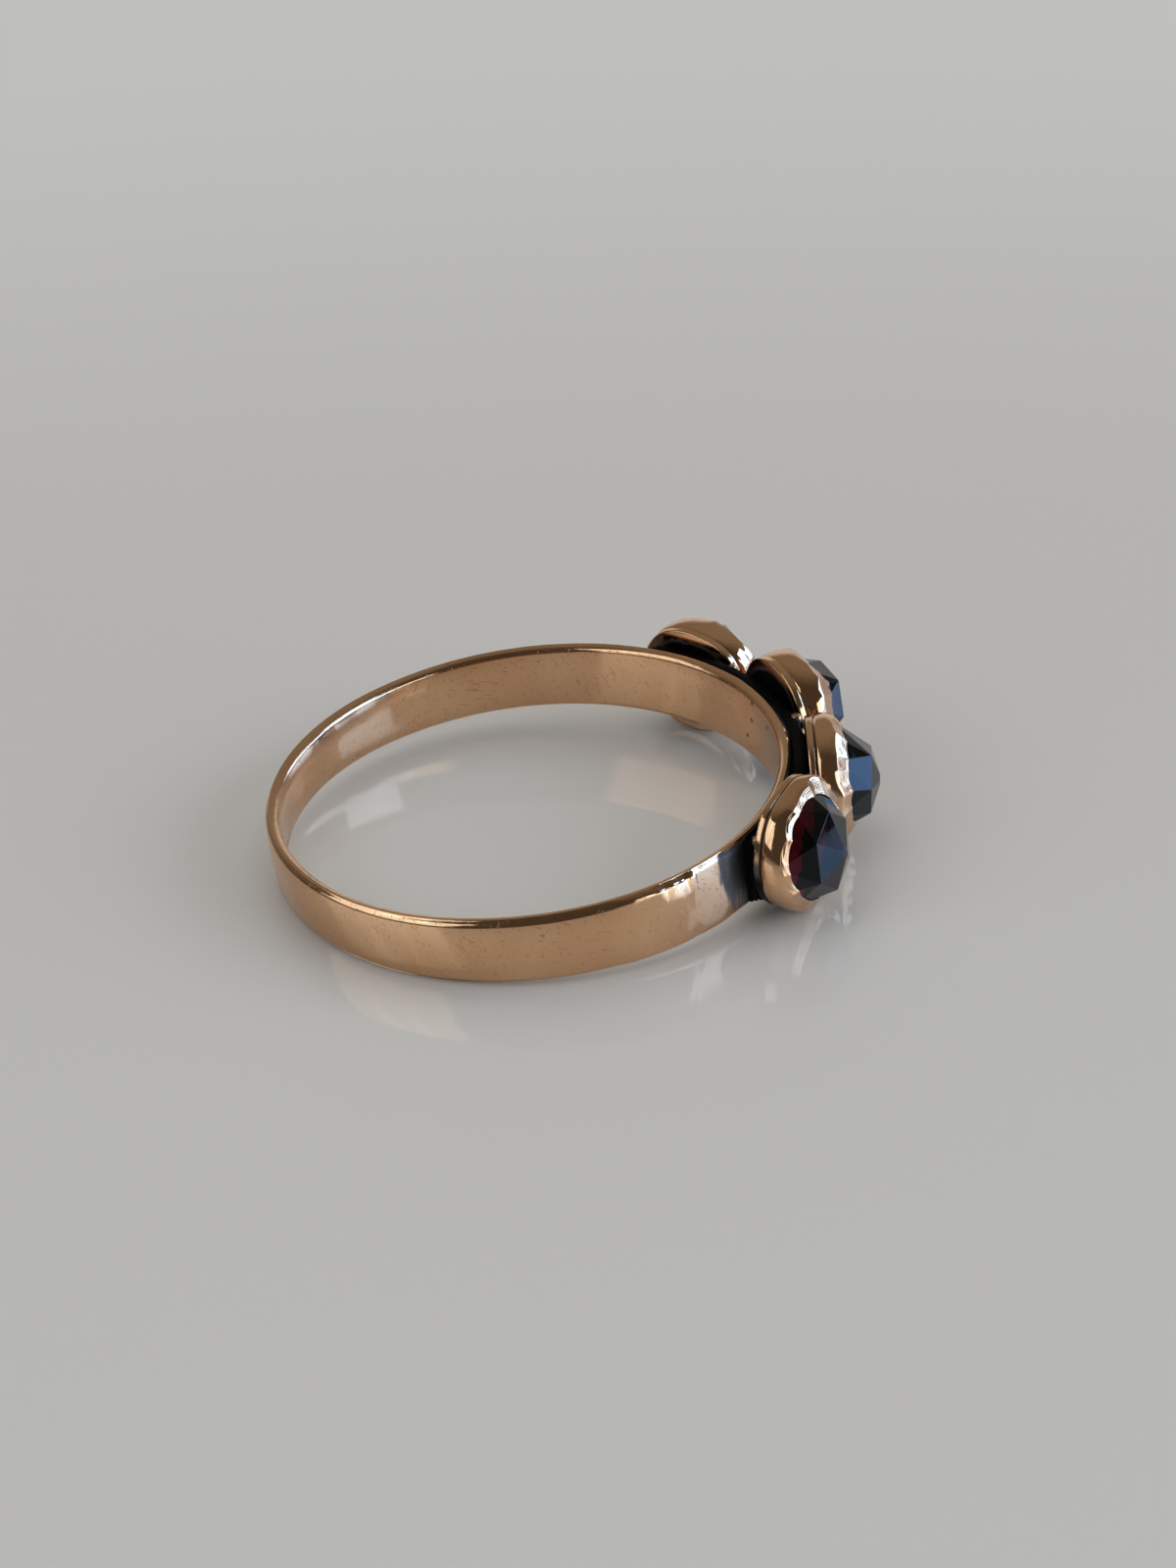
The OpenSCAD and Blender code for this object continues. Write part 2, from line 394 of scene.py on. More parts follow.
def burn_band(mesh, past, away, up, half_w):
    """Notes the blue-grey patches on the outer face and the black rims, from the places before the wear."""
    drawn_in = PATCH_DRAWN_IN * soft_step(up, *PATCH_FOOT)
    inside = PATCH_END + ripples(up, PATCH_RIPPLES) - drawn_in - past
    burnt_here = PATCH_BURNT + PATCH_BURNT_UP * soft_step(up, *PATCH_HEIGHTS)
    patch = burnt_here * share_of(inside, 0, PATCH_EDGE)
    patch += PATCH_BURNT_IN * share_of(inside, 0, PATCH_DEEPENS)
    patch += PLATE_EDGE_BURNT * share_of(past, *PLATE_EDGE)
    gold_below = soft_step(up + half_w, *LOW_EDGE_GOLD) * soft_step(past, *LOW_EDGE_STARTS)
    on_face = soft_step(away, *BURNT_FACE) * (1 - gold_below)
    rim_black = soft_step(away, *BLACK_RIM) * (1 - soft_step(past, *BLACK_RIM_ENDS))
    note(mesh, "burnt", np.maximum(patch * on_face, rim_black))


# The worn shoulders: how wide and deep they are on the outer face and inside, and where the inside ones
# deepen towards the back, in degrees from the middle of the row
OUTER_FACE = (MID_R - 0.05, BAND_R - 0.05)
SHOULDER_W = 0.5
OUTER_SHOULDER = 0.09
INNER_SHOULDER = 0.055
INNER_SHOULDER_BACK = 0.07
DEEPENS = (105, 135)

# The filed flat: where it starts and ends, its heights and depth, and how sharp it leaves the edge
FILED_STARTS = (56.0, 57.5)
FILED_ENDS = (63.6, 65.4)
FILED_FULL = (-0.15, 1.35)
FILED_SEEN = (-0.2, 0.1)
FILED_DEPTH = 0.13
FILED_SHARP = 0.65

# The chips beside it in the upper edge: where they are, and how wide and steep
CHIPS_START = (65.6, 66.4)
CHIPS_END = (80, 85)
CHIP_W = 0.09
CHIP_W_AT_FILED = 0.38
CHIP_NARROWS = (77, 66)
CHIP_W_RIPPLES = ((0.03, 0.9, 0.0), (0.02, 2.3, 0.0))
CHIP_SLOPE = 0.42
CHIP_SLOPE_RIPPLES = ((0.06, 1.3, 1.0),)
CHIPS_SHARP = 0.8

# Streaks across the band from the polishing: depth, how many go round, slant and where they start
STREAKS = ((0.0016, 61, 1.3, 0.0), (0.0010, 103, 0.8, 2.0))
SCOURED_INSIDE = 0.4


def wear_band(mesh):
    """Rounds the shoulders, and gives the band its filed flat and chipped edge beside the first collet."""
    spots = points_of(mesh)
    away = np.hypot(spots[:, 0], spots[:, 1])
    around_row = np.degrees(np.arctan2(spots[:, 0], -spots[:, 1]))
    past = np.abs(around_row)
    near_first = around_row < 0
    half_w = MEAN_W / 2 * (1 - TAPER * spots[:, 1])
    up = spots[:, 2]
    outer = soft_step(away, *OUTER_FACE)
    inner = 1 - outer

    shoulder = share_of(np.abs(up) - half_w, -SHOULDER_W, 0) ** 2
    filed = soft_step(past, *FILED_STARTS) * (1 - soft_step(past, *FILED_ENDS)) * near_first
    filed_down = FILED_DEPTH * share_of(up, *FILED_FULL)
    chipped = soft_step(past, *CHIPS_START) * (1 - soft_step(past, *CHIPS_END)) * near_first
    chip_w = CHIP_W + CHIP_W_AT_FILED * share_of(past, *CHIP_NARROWS) + ripples(past, CHIP_W_RIPPLES)
    chip_slope = CHIP_SLOPE + ripples(past, CHIP_SLOPE_RIPPLES)
    chipped_down = chip_slope * np.clip(up - half_w + chip_w, 0, 1)
    streaks = sum(depth * np.sin(np.radians(around_row) * count + start + slant * up)
                  for depth, count, slant, start in STREAKS)

    outer_shoulder = OUTER_SHOULDER * shoulder * (1 - FILED_SHARP * filed - CHIPS_SHARP * chipped)
    inner_shoulder = (INNER_SHOULDER + INNER_SHOULDER_BACK * soft_step(past, *DEEPENS)) * shoulder
    inwards = outer * (outer_shoulder + filed * filed_down + chipped * chipped_down)
    inwards += streaks - inner * inner_shoulder
    burn_band(mesh, past, away, up, half_w)
    note(mesh, "filed", np.maximum(outer * filed * soft_step(up, *FILED_SEEN), SCOURED_INSIDE * inner))
    spots[:, :2] *= ((away - inwards) / away)[:, None]
    mesh.vertices.foreach_set("co", spots.reshape(-1))
    mesh.update()


wear_band(band.data)
lay_down(band)


# The saddle. A bent strip of gold between the band and the backs of the collets, soldered on in layers. The
# solder has run past its ends in black ridges that lie parallel to the plates' edges.
SADDLE_OUT = 9.83
SADDLE_IN = 9.15
SADDLE_W = 2.4
SADDLE_END = 49.8

# Its ends thin out from a little before that to a little past it, in degrees, and are narrower
THINS_BEFORE = 1.5
THINS_PAST = 0.9
END_HALF_W = 1.16
END_THICK = 0.74
END_SLOPE = 0.31
END_RIDGE = 0.10
END_RIDGES_TURN = 3.4
END_RIDGES_STOP = 2.1

# A cross-section has this many points; the lower its squareness, the squarer its corners
SECTION_STEPS = 28
SECTION_SQUARENESS = 0.35
SADDLE_SUNK = 0.03
HAMMERED = 0.012
SADDLE_BURNT = 0.95

SADDLE_BLACK = gold_material("burnt_solder", roughness=0.16, scratches=0.3, bump=0.8, brushed=0.25)


def skin(name, rings, material):
    """A smooth closed surface through equal rings of points, which runs from the first to the last."""
    count, size = len(rings), len(rings[0])
    corners = np.concatenate(rings)
    faces = []
    for row in range(count - 1):
        for k in range(size):
            k2 = (k + 1) % size
            faces.append((row * size + k, row * size + k2, (row + 1) * size + k2, (row + 1) * size + k))
    faces.append(tuple(reversed(range(size))))
    faces.append(tuple(range((count - 1) * size, count * size)))
    mesh = bpy.data.meshes.new(name)
    mesh.from_pydata(corners.tolist(), [], faces)
    mesh.materials.append(material)
    outwards(mesh)
    mesh.polygons.foreach_set("use_smooth", [len(p.vertices) == 4 for p in mesh.polygons])
    return show(name, mesh)


def saddle_height(past):
    """How thick the saddle is above the band, this many degrees past where it starts to thin out."""
    if past < 0:
        return 1.0
    ridge = END_RIDGE * abs(math.sin(past * END_RIDGES_TURN)) ** 0.5
    return max(0.0, END_THICK - END_SLOPE * past) + ridge * (past < END_RIDGES_STOP)


def squared(value):
    """A sine or cosine bent towards a square's side."""
    return math.copysign(abs(value) ** SECTION_SQUARENESS, value)


def at_angle(angle, away, height):
    """A point this many degrees from the middle of the row, and this far from the finger's axis."""
    turn = math.radians(angle - 90)
    return (away * math.cos(turn), away * math.sin(turn), height)


def saddle_ring(angle):
    """The saddle's cross-section at this angle from the middle of the row."""
    thick = saddle_height(abs(angle) - SADDLE_END + THINS_BEFORE)
    half_w = SADDLE_W / 2 if thick == 1.0 else END_HALF_W + 0.03 * math.sin(angle * 9)
    foot = BAND_R - SADDLE_SUNK
    outer = foot + (SADDLE_OUT - foot) * thick
    ring = []
    for step in range(SECTION_STEPS):
        across = 2 * math.pi * step / SECTION_STEPS
        z = half_w * squared(math.sin(across))
        reach = squared(math.cos(across))
        r = (outer + SADDLE_IN) / 2 + (outer - SADDLE_IN) / 2 * reach
        r += HAMMERED * math.sin(z * 9 + angle * 1.3) * (reach > 0)
        ring.append(at_angle(angle, r, z))
    return np.array(ring)


angles = np.concatenate([np.linspace(-SADDLE_END - THINS_PAST, -SADDLE_END + 2.5, 48),
                         np.linspace(-SADDLE_END + 2.6, SADDLE_END - 2.6, 160),
                         np.linspace(SADDLE_END - 2.5, SADDLE_END + THINS_PAST, 48)])
saddle = skin("saddle", [saddle_ring(a) for a in angles], SADDLE_BLACK)
note(saddle.data, "burnt", np.full(len(saddle.data.vertices), SADDLE_BURNT))
lay_down(saddle)


# The collets. Four closed-back cups of rose gold: a round back plate, and a wall soldered to it and rubbed
# over the stone. Each was set by hand, so its outline is a soft polygon and its lip is uneven.
PITCH = 27.2
PLATE_BACK = 9.75
RISE = (0.34, 0.12, 0.10, -0.08)
FACING = (-2.5, 0.5, 0.0, 0.0)
PLATE_R = 2.2
BELLY_R = 2.27

COLLET_GOLD = gold_material("rose_gold_collet", roughness=0.05, scratches=0.4, bump=0.3, brushed=0.3)


def on_collet(i):
    """From a collet's own axis, plate down and +X along the band, to the upright ring."""
    return (
        Matrix.Rotation(math.radians((i - 1.5) * PITCH), 4, "Z")
        @ Matrix.Translation((0, -PLATE_BACK, RISE[i]))
        @ Matrix.Rotation(math.radians(FACING[i]), 4, "Z")
        @ Matrix.Rotation(math.radians(90), 4, "X")
    )


# Each table has a line for each collet, with pairs of an angle from +X towards the rim and an amount there.
# How far the wall stands out of round:
OUTLINE = (
    ((0, 0.04), (28, 0.12), (48, 0.21), (70, 0.15), (97, -0.02), (121, 0.12), (148, -0.04), (180, -0.11),
     (226, -0.18), (248, -0.10), (270, -0.03), (290, -0.02), (320, 0.02)),
    ((12, -0.02), (38, -0.08), (62, -0.07), (92, -0.03), (130, 0.04), (170, -0.04), (215, 0.04),
     (260, -0.05), (300, 0.03), (340, -0.03)),
    ((5, -0.06), (50, -0.05), (80, 0.0), (108, 0.10), (135, 0.15), (165, 0.08), (200, 0.04), (245, -0.04),
     (290, 0.05), (330, -0.02)),
    ((0, 0.03), (34, -0.05), (60, -0.09), (84, -0.20), (108, -0.20), (128, -0.02), (146, 0.10), (190, 0.04),
     (235, -0.05), (258, -0.03), (280, -0.02), (300, 0.03), (335, 0.0)),
)

# How deep the groove over the plate is, and how burnt the plate's edge and the foot of the wall are:
GROOVE = (
    ((0, 0.3), (60, 0.3), (110, 0.5), (140, 1.0), (200, 1.0), (260, 0.6), (320, 0.3)),
    ((0, 0.3), (80, 0.3), (110, 0.6), (130, 1.0), (200, 0.9), (260, 0.4)),
    ((0, 0.2), (180, 0.2)),
    ((0, 0.1), (180, 0.1)),
)
PLATE_BURNT = (
    ((0, 0.4), (60, 0.0), (150, 0.0), (168, 0.3), (185, 1.0), (230, 0.8), (300, 0.6)),
    ((0, 0.5), (60, 0.05), (150, 0.0), (190, 0.1), (220, 0.5), (300, 0.8)),
    ((0, 0.4), (60, 0.05), (150, 0.0), (200, 0.1), (260, 0.5)),
    ((0, 0.2), (60, 0.05), (160, 0.0), (220, 0.05), (300, 0.1)),
)
FOOT_BURNT = (
    ((0, 0.5), (90, 0.1), (150, 0.0), (180, 0.2), (230, 0.1), (300, 0.4)),
    ((0, 0.5), (70, 0.0), (140, 0.0), (200, 0.1), (300, 0.6)),
    ((0, 0.4), (60, 0.0), (150, 0.0), (200, 0.2), (300, 0.5)),
    ((0, 0.3), (60, 0.0), (160, 0.0), (230, 0.1), (300, 0.3)),
)

# How far the top of the wall leans out past its foot, and the radius at which the lip meets the stone:
FLARE = (
    ((0, 0.0), (60, 0.0), (92, -0.10), (132, -0.13), (165, -0.03), (200, 0.0)),
    ((0, 0.0), (180, 0.0)),
    ((0, 0.0), (80, 0.02), (130, 0.12), (170, 0.10), (220, 0.0)),
    ((0, 0.0), (112, 0.0), (146, 0.10), (180, 0.06), (230, 0.0)),
)
LIP_INNER_R = (
    ((0, 1.70), (40, 1.80), (68, 1.90), (94, 1.90), (132, 1.86), (164, 1.79), (178, 1.755), (199, 1.69),
     (227, 1.63), (255, 1.68), (300, 1.70)),
    ((0, 1.73), (80, 1.70), (130, 1.66), (180, 1.70)),
    ((0, 1.72), (80, 1.70), (120, 1.60), (160, 1.56), (200, 1.64), (270, 1.72)),
    ((0, 1.74), (70, 1.72), (100, 1.68), (122, 1.58), (150, 1.54), (200, 1.66), (270, 1.72)),
)


def around(pairs, angle):
    """A smooth closed line through (angle, value) pairs."""
    fine_step, spread, reach = 2.0, 6.0, 12
    at = [p[0] for p in pairs]
    value = [p[1] for p in pairs]
    fine = np.arange(0, 360, fine_step)
    straight = np.interp(fine, at, value, period=360)
    bell = np.exp(-0.5 * (np.arange(-reach, reach + 1) * fine_step / spread) ** 2)
    wrapped = np.concatenate([straight[-reach:], straight, straight[:reach]])
    soft = np.convolve(wrapped, bell / bell.sum(), mode="valid")
    return np.interp(angle % 360, fine, soft, period=360)


def crown_height(i, radius, spin):
    """How high the stone's crown stands at these places, in its collet's own frame."""
    local = (LAID @ on_collet(i)).inverted()
    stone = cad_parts[f"garnet_{i + 1}"].data
    crown = BVHTree.FromPolygons([local @ v.co for v in stone.vertices],
                                 [tuple(p.vertices) for p in stone.polygons])
    heights = []
    for r, a in zip(radius, spin):
        hit = crown.ray_cast(Vector((r * math.cos(a), r * math.sin(a), 5.0)), Vector((0, 0, -1)))[0]
        heights.append(hit.z)
    return np.array(heights)


def waves(rng, spin, rows):
    """A closed uneven line: each row is how many waves go round and their size, and they start anywhere."""
    starts = rng.uniform(0, 6.3, len(rows))
    return sum(size * np.sin(count * spin + start) for (count, size), start in zip(rows, starts))


# The plate, row by row: its back (past the burnt radius, how burnt, how far out of round), its edge (past
# its own radius, height, how burnt) and the groove over it (depth, height, how burnt)
BACK_BURNT_R = (2.05, 2.0, 1.85, 1.8)
BACK_ROWS = ((-0.35, 1.0, 0.8), (-0.09, 0.9, 0.9), (0.02, 0.3, 0.95))
EDGE_ROWS = ((-0.06, 0.0, 0.5), (-0.03, 0.005, 0.8), (-0.01, 0.02, 1), (0, 0.05, 1), (0, 0.09, 1),
             (0, 0.13, 1), (0, 0.17, 1), (0, 0.205, 1))
GROOVE_ROWS = ((0.02, 0.222, 0.3), (0.08, 0.24, 0.9), (0.085, 0.262, 0.9), (0.02, 0.285, 0.3))
PLATE_TOP = 0.25

# The wall is part of a barrel, which is widest at its belly and dented above it
SEED = 70
COLLET_STEPS = 360
BACK_WAVES = ((3, 0.03), (8, 0.02), (13, 0.01))
DENTS = ((4, 0.010), (6, 0.007), (9, 0.004))
WALL_FOOT = (PLATE_R + 0.005, 0.298)
FOOT_ROWS = 4
WALL_ROWS = 12
SOUND_ROWS = 6
WALL_CURVE_R = 1.1
WALL_BELLY = 0.62
WALL_BELOW = math.radians(15)
WALL_ABOVE = math.radians(22)

# A small shoulder leads from the wall to the bevelled lip, which has its own slope on each collet
SHOULDER_ROWS = 7
BEND_R = 0.09
SHOULDER_IN = 0.03
SHOULDER_UP = 0.05
BEVEL_ANGLE = tuple(math.radians(a) for a in (58, 54, 50, 50))
BEVEL_ROWS = 30
BEVEL_CROWN = 0.012

# The lip: how uneven its line is, how far it stands off the stone, how thick and wide its edge is, and the
# ridges that the setter's tool left, most of them at one place
LIP_WAVES = ((3, 0.010), (5, 0.008), (8, 0.005), (13, 0.003))
LIP_CLEAR = 0.012
LIP_THICK = 0.035
LIP_EDGE = 0.03
RIDGE_PITCH = 0.066
RIDGE_DEPTH = 0.0085
RIDGE_DRIFT = ((3, 1.6), (5, 1.1), (13, 0.7), (29, 0.35))
TOOLED_AT = 68
TOOLED_SPREAD = 26
TOOLED_ELSEWHERE = 0.12

# The lip's thin edge (past its radius, above the stone) and the seat behind the stone (radius, height)
LIP_ROWS = ((0.012, 0.030), (0.002, 0.018), (0.0, 0.004), (0.03, -0.03))
SEAT_ROWS = ((1.99, 0.93), (2.03, 0.90), (2.03, 0.50), (1.75, 0.50), (1.75, 0.22))


def make_collet(i):
    """One collet, as rows of points from the middle of its back, out, up and in to its seat."""
    spin = np.radians(np.arange(COLLET_STEPS) * 360 / COLLET_STEPS)
    turn = np.degrees(spin)
    rng = np.random.default_rng(SEED + i)
    out_of_round = around(OUTLINE[i], turn)
    groove, plate, foot = (around(table[i], turn) for table in (GROOVE, PLATE_BURNT, FOOT_BURNT))
    dents = waves(rng, spin, DENTS)
    inner = around(LIP_INNER_R[i], turn) + waves(rng, spin, LIP_WAVES)
    flare = around(FLARE[i], turn)
    seated = crown_height(i, inner, spin) + LIP_CLEAR
    bevel = BEVEL_ANGLE[i]
    rings, burnt = [], []

    def row(radius, height, black=0.0, share=1.0):
        radius = radius + share * out_of_round
        rings.append(np.stack([radius * np.cos(spin), radius * np.sin(spin), height + 0 * spin], 1))
        burnt.append(np.maximum(black, 0 * spin))

    ragged = waves(rng, spin, BACK_WAVES)
    for number, (past, black, share) in enumerate(BACK_ROWS):
        row(BACK_BURNT_R[i] + past + (ragged if number else 0), 0.0, black, share)
    for past, height, amount in EDGE_ROWS:
        row(PLATE_R + past, height, amount * plate)
    for deep, height, black in GROOVE_ROWS:
        row(PLATE_R - deep * groove, height, np.maximum(black * groove, 0.8 * plate * (height < PLATE_TOP)))
    row(*WALL_FOOT, foot)

    barrel_in = WALL_CURVE_R * (1 - math.cos(WALL_ABOVE))
    barrel_up = WALL_CURVE_R * math.sin(WALL_ABOVE)
    reach = BELLY_R - barrel_in - SHOULDER_IN + out_of_round + dents + flare
    edge_r = inner + LIP_EDGE
    bevel_foot = seated + LIP_THICK - (reach - edge_r) / math.tan(bevel)
    squeeze = (bevel_foot - SHOULDER_UP - WALL_BELLY) / barrel_up
    last = WALL_ROWS - 1
    for step in range(WALL_ROWS):
        lean = (WALL_ABOVE + WALL_BELOW) * step / last - WALL_BELOW
        rise = WALL_CURVE_R * math.sin(lean)
        bulge = BELLY_R - WALL_CURVE_R * (1 - math.cos(lean))
        dented = dents * max(0, step - SOUND_ROWS) / (last - SOUND_ROWS)
        row(bulge + dented + flare * step / last,
            WALL_BELLY + np.where(rise > 0, rise * squeeze, rise), foot * max(0, 1 - step / FOOT_ROWS))
    start = np.arctan(math.tan(WALL_ABOVE) / squeeze)
    wall_r = BELLY_R - barrel_in + dents + flare
    wall_h = WALL_BELLY + barrel_up * squeeze
    for step in range(1, SHOULDER_ROWS + 1):
        lean = start + (bevel - start) * step / SHOULDER_ROWS
        top_r = wall_r - BEND_R * (np.cos(start) - np.cos(lean))
        top_h = wall_h + BEND_R * (np.sin(lean) - np.sin(start))
        row(top_r, top_h)

    tooled = np.exp(-((turn - TOOLED_AT) / TOOLED_SPREAD) ** 2) + TOOLED_ELSEWHERE
    drift = waves(rng, spin, RIDGE_DRIFT)
    bevel_r = top_r + out_of_round
    for step in range(1, BEVEL_ROWS + 1):
        along = step / BEVEL_ROWS
        r = (1 - along) * bevel_r + along * edge_r
        h = (1 - along) * top_h + along * (seated + LIP_THICK)
        fade = math.sin(math.pi * along) ** 0.5
        ridges = RIDGE_DEPTH * tooled * np.sin(2 * math.pi * (bevel_r - r) / RIDGE_PITCH + drift)
        lumps = 0.004 * np.sin(9 * spin + 5 * along + i) + 0.003 * np.sin(21 * spin - 7 * along)
        row(r, h + fade * (BEVEL_CROWN + ridges + lumps), share=0.0)
    for past, above in LIP_ROWS:
        row(inner + past, seated + above, 0.5, 0.0)
    for radius, height in SEAT_ROWS:
        row(radius, height, 1.0, 0.0)

    made = skin(f"collet_{i + 1}", rings, COLLET_GOLD)
    note(made.data, "burnt", np.concatenate(burnt))
    made.data.transform(on_collet(i))
    return lay_down(made)


collets = [make_collet(i) for i in range(4)]


# The solder. Beads of solder left between neighbouring plates, on both sides of the row, and one at each end
# of the saddle. They are lumpy and half burnt.
BEAD_R = 0.24
LUMPS = 0.14
SMALLEST = 0.7
LARGEST = 1.15

SOLDER = gold_material("solder", roughness=0.10, scratches=0.3, bump=0.9, brushed=0.5)


def bead_tree():
    """A lumpy bead on every point given, each of its own size."""
    tree, given, out = piece_tree("solder_beads", ("Bead Radius", "Lumps"))
    bead = add(tree, "GeometryNodeMeshIcoSphere", {"Radius": given["Bead Radius"], "Subdivisions": 4})
    size = add(tree, "FunctionNodeRandomValue", {2: SMALLEST, 3: LARGEST, "Seed": 4}, data_type="FLOAT")
    spread = add(tree, "GeometryNodeInstanceOnPoints",
                 {"Points": given["Geometry"], "Instance": bead.outputs[0], "Scale": size.outputs[1]})
    real = add(tree, "GeometryNodeRealizeInstances", {"Geometry": spread.outputs[0]}).outputs[0]
    lumpy = uneven(tree, real, given["Lumps"], Scale=3.5, Detail=2.0)
    dress(tree, lumpy, given["Material"], out)
    return tree


def solder_points():
    """Where the beads sit: an inner and an outer one on both sides of each joint, and one at each end."""
    joints = [(k, side) for k in (-1, 0, 1) for side in (-1, 1)]
    spots = [(PITCH * k, PLATE_BACK + 0.10, side * (0.55 + 0.06 * k)) for k, side in joints]
    spots += [(PITCH * k + 0.9, PLATE_BACK + 0.02, side * 1.02) for k, side in joints]
    spots += [(-SADDLE_END + 1.4, PLATE_BACK - 0.2, 1.12), (SADDLE_END - 1.0, PLATE_BACK - 0.2, -1.05)]
    return [at_angle(*spot) for spot in spots]


solder = grown("solder", bead_tree(), {"Bead Radius": BEAD_R, "Lumps": LUMPS, "Material": SOLDER},
               solder_points())
spots = points_of(solder.data)
note(solder.data, "burnt", 0.45 + 0.45 * np.sin(spots[:, 0] * 7 + spots[:, 2] * 9))
lay_down(solder)

for piece in (band, saddle, solder, *collets):
    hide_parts("ring_metal")


# The garnets. Four rose-cut garnets, held by the rubbed lips. They are nearly black until light gets through
# them, when they show crimson. They keep the part's own facets, and their edges are a little worn.
CRIMSON = (0.060, 0.0006, 0.0030, 1)
NEARLY_BLACK = (0.022, 0.0003, 0.0010, 1)
CLOUD_SPAN = (0.35, 0.7)
# A cool blue tint painted on every reflection in the stones: a painted reflection of the window's sky light
PAINTED_SKY_REFLECTION_TINT = (0.78, 0.88, 1.0, 1)
STONE_POLISH = (0.015, 0.09)
WORN_SPAN = (0.45, 0.8)
JOIN_WITHIN = 0.000002
EDGE_WEAR = 0.000012


def garnet_material():
    """Dark red glass with a cloudy depth of colour, a polish that is worn in places, and a cool blue tint
    painted on its reflections.
    """
    material = bpy.data.materials.new("garnet")
    material.use_nodes = True
    tree = material.node_tree
    surface = tree.nodes["Principled BSDF"].inputs
    place = object_place(tree)
    cloud = noise(tree, Vector=place, Scale=900.0, Detail=4.0)
    red = mix_colour(tree, ramp(tree, cloud, *CLOUD_SPAN), CRIMSON, NEARLY_BLACK)
    tree.links.new(red, surface["Base Color"])
    surface["Metallic"].default_value = 0.0
    surface["IOR"].default_value = 1.46
    # Painted cool tint on the stones' reflections, standing in for the blue window light
    surface["Specular Tint"].default_value = PAINTED_SKY_REFLECTION_TINT
    surface["Transmission Weight"].default_value = 1.0
    worn = noise(tree, Vector=place, Scale=2600.0, Detail=5.0)
    tree.links.new(ramp(tree, worn, *WORN_SPAN, *STONE_POLISH), surface["Roughness"])
    return material


GARNET = garnet_material()
for i in range(4):
    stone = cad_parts[f"garnet_{i + 1}"]
    for slot in stone.material_slots:
        slot.material = GARNET
    joined = stone.modifiers.new("joined", "WELD")
    joined.merge_threshold = JOIN_WITHIN
    worn_edges = stone.modifiers.new("worn_edges", "BEVEL")
    worn_edges.width = EDGE_WEAR
    worn_edges.segments = 2
    worn_edges.angle_limit = math.radians(8)
    worn_edges.harden_normals = True


# Floor, light and view. The ring lies on a pale polished board beside a cool window, with a warm wall on the
# other side. Azimuths and elevations are in degrees, seen from the ring.
FLOOR_CORNERS = ((-3, -3, 0), (3, -3, 0), (3, 3, 0), (-3, 3, 0))
floor_mesh = bpy.data.meshes.new("floor")
floor_mesh.from_pydata(FLOOR_CORNERS, [], [(0, 1, 2, 3)])
floor = show("floor", floor_mesh)
board = bpy.data.materials.new("pale_board")
board.use_nodes = True
surface = board.node_tree.nodes["Principled BSDF"].inputs
surface["Base Color"].default_value = (0.76, 0.76, 0.76, 1)
surface["Roughness"].default_value = 0.5
surface["Coat Weight"].default_value = 1.0
surface["Coat Roughness"].default_value = 0.028
floor_mesh.materials.append(board)


def towards(azimuth, elevation):
    """A metre's step from the ring in this direction."""
    a, e = math.radians(azimuth), math.radians(elevation)
    return Vector((math.cos(a) * math.cos(e), math.sin(a) * math.cos(e), math.sin(e)))


def panel(name, azimuth, elevation, width, height, colour, strength, seen=True, lights_floor=True):
    """A soft light a metre away, facing the ring."""
    light = bpy.data.lights.new(name, "AREA")
    light.shape = "RECTANGLE"
    light.size = width
    light.size_y = height
    light.color = colour
    light.energy = strength
    lamp = show(name, light)
    away = towards(azimuth, elevation)
    lamp.location = away
    lamp.rotation_euler = away.to_track_quat("Z", "Y").to_euler()
    lamp.visible_glossy = seen
    lamp.visible_diffuse = lights_floor


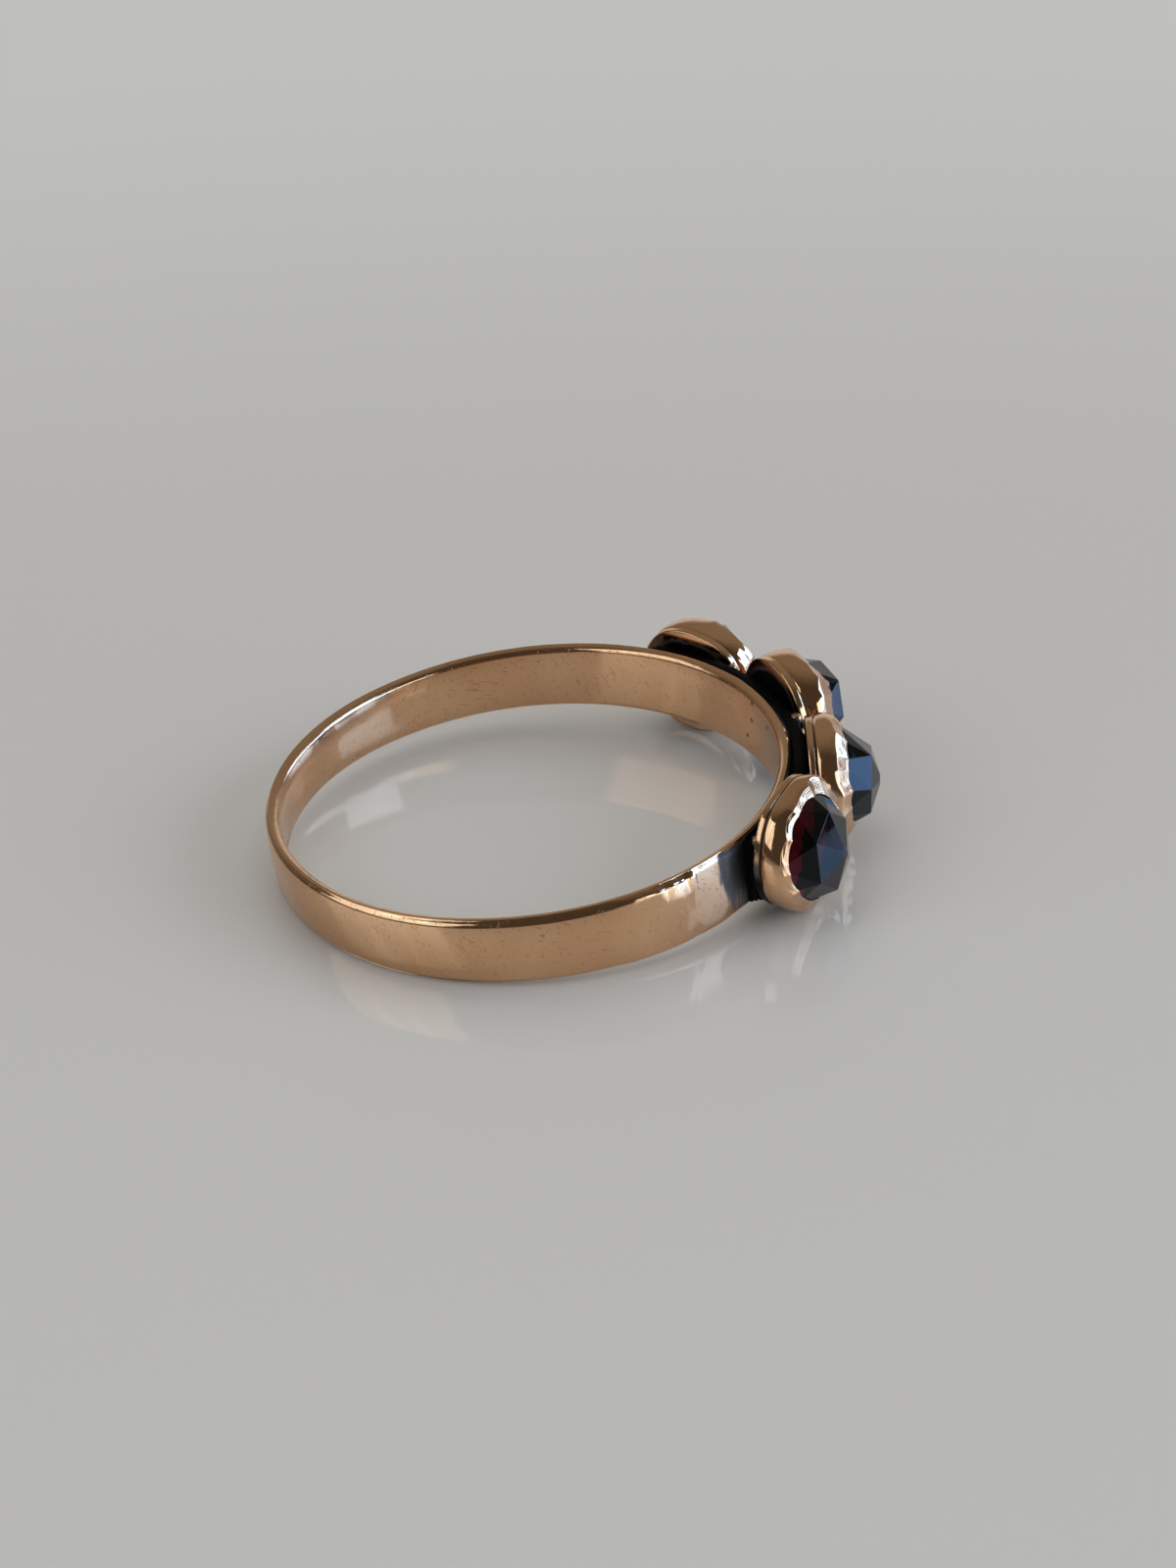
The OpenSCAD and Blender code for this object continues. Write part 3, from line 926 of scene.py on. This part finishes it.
SKY = (0.32, 0.56, 1.0)
panel("window_upper", -104, 29, 0.53, 0.33, SKY, 2.75, lights_floor=False)
panel("window_lower", -113, 10.5, 0.62, 0.33, SKY, 3.2, lights_floor=False)
panel("side_pane", -74, 12.5, 0.57, 0.34, SKY, 3.0, lights_floor=False)
panel("sill", -92, 3, 0.18, 0.16, (0.54, 0.64, 1.0), 0.12, lights_floor=False)
panel("blind", -139, 11, 0.40, 0.38, (0.73, 0.86, 1.0), 1.1, lights_floor=False)
panel("window_glow", -115, 22, 1.15, 0.6, (0.92, 0.96, 1.0), 5.4, seen=False)
for pane, azimuth in enumerate((84, 103, 122)):
    panel(f"far_window_{pane + 1}", azimuth, 30, 0.31, 0.66, (0.84, 0.94, 1.0), 0.85)
panel("overhead", -30, 74, 1.5, 1.5, (1.0, 0.965, 0.93), 4.4, seen=False)

# The room is dim and warm, lighter towards the top of one wall and lightest low down on it
WALL_AZIMUTH = -12
WALL_TOP = 38
ROOM_DIM = (0.07, 0.06, 0.05, 1)
ROOM_LIGHT = (0.24, 0.22, 0.185, 1)
ROOM_SPAN = (0.1, 0.95)
LOW_WALL = (0.62, 0.62, 0.61, 1)
LOW_WALL_HEIGHT = (0.44, 0.2)
LOW_WALL_WIDTH = (0.78, 0.92)

world = bpy.data.worlds.new("room")
world.use_nodes = True
sky = world.node_tree
direction = add(sky, "ShaderNodeTexCoord").outputs["Generated"]
height = add(sky, "ShaderNodeSeparateXYZ", {0: direction}).outputs["Z"]
up_wall, along_wall = (add(sky, "ShaderNodeVectorMath", {0: direction, 1: towards(WALL_AZIMUTH, elevation)},
                           operation="DOT_PRODUCT").outputs["Value"] for elevation in (WALL_TOP, 0))
room = mix_colour(sky, ramp(sky, up_wall, *ROOM_SPAN), ROOM_DIM, ROOM_LIGHT)
low_wall = times(sky, ramp(sky, height, *LOW_WALL_HEIGHT), ramp(sky, along_wall, *LOW_WALL_WIDTH))
sky.links.new(mix_colour(sky, low_wall, room, LOW_WALL), sky.nodes["Background"].inputs["Color"])
bpy.context.scene.world = world

# The view: the camera's place in metres, and which way the picture's right and its foot point
VIEW_PLACE = (-0.0714736, 0.0119021, 0.0422222)
VIEW_RIGHT = Vector((-0.2044900815, -0.9773112255, -0.0551957885))
VIEW_DOWN = Vector((-0.4653667333, 0.1466700141, -0.8728812694))

camera = bpy.data.cameras.new("camera")
camera.sensor_fit = "VERTICAL"
camera.sensor_height = 36
camera.lens = 54
camera.clip_start = 0.005
view = show("camera", camera)
turned = Matrix((VIEW_RIGHT, -VIEW_DOWN, -VIEW_RIGHT.cross(VIEW_DOWN))).transposed()
view.matrix_world = Matrix.Translation(VIEW_PLACE) @ turned.to_4x4()
bpy.context.scene.camera = view
bpy.context.scene.view_settings.view_transform = "Standard"
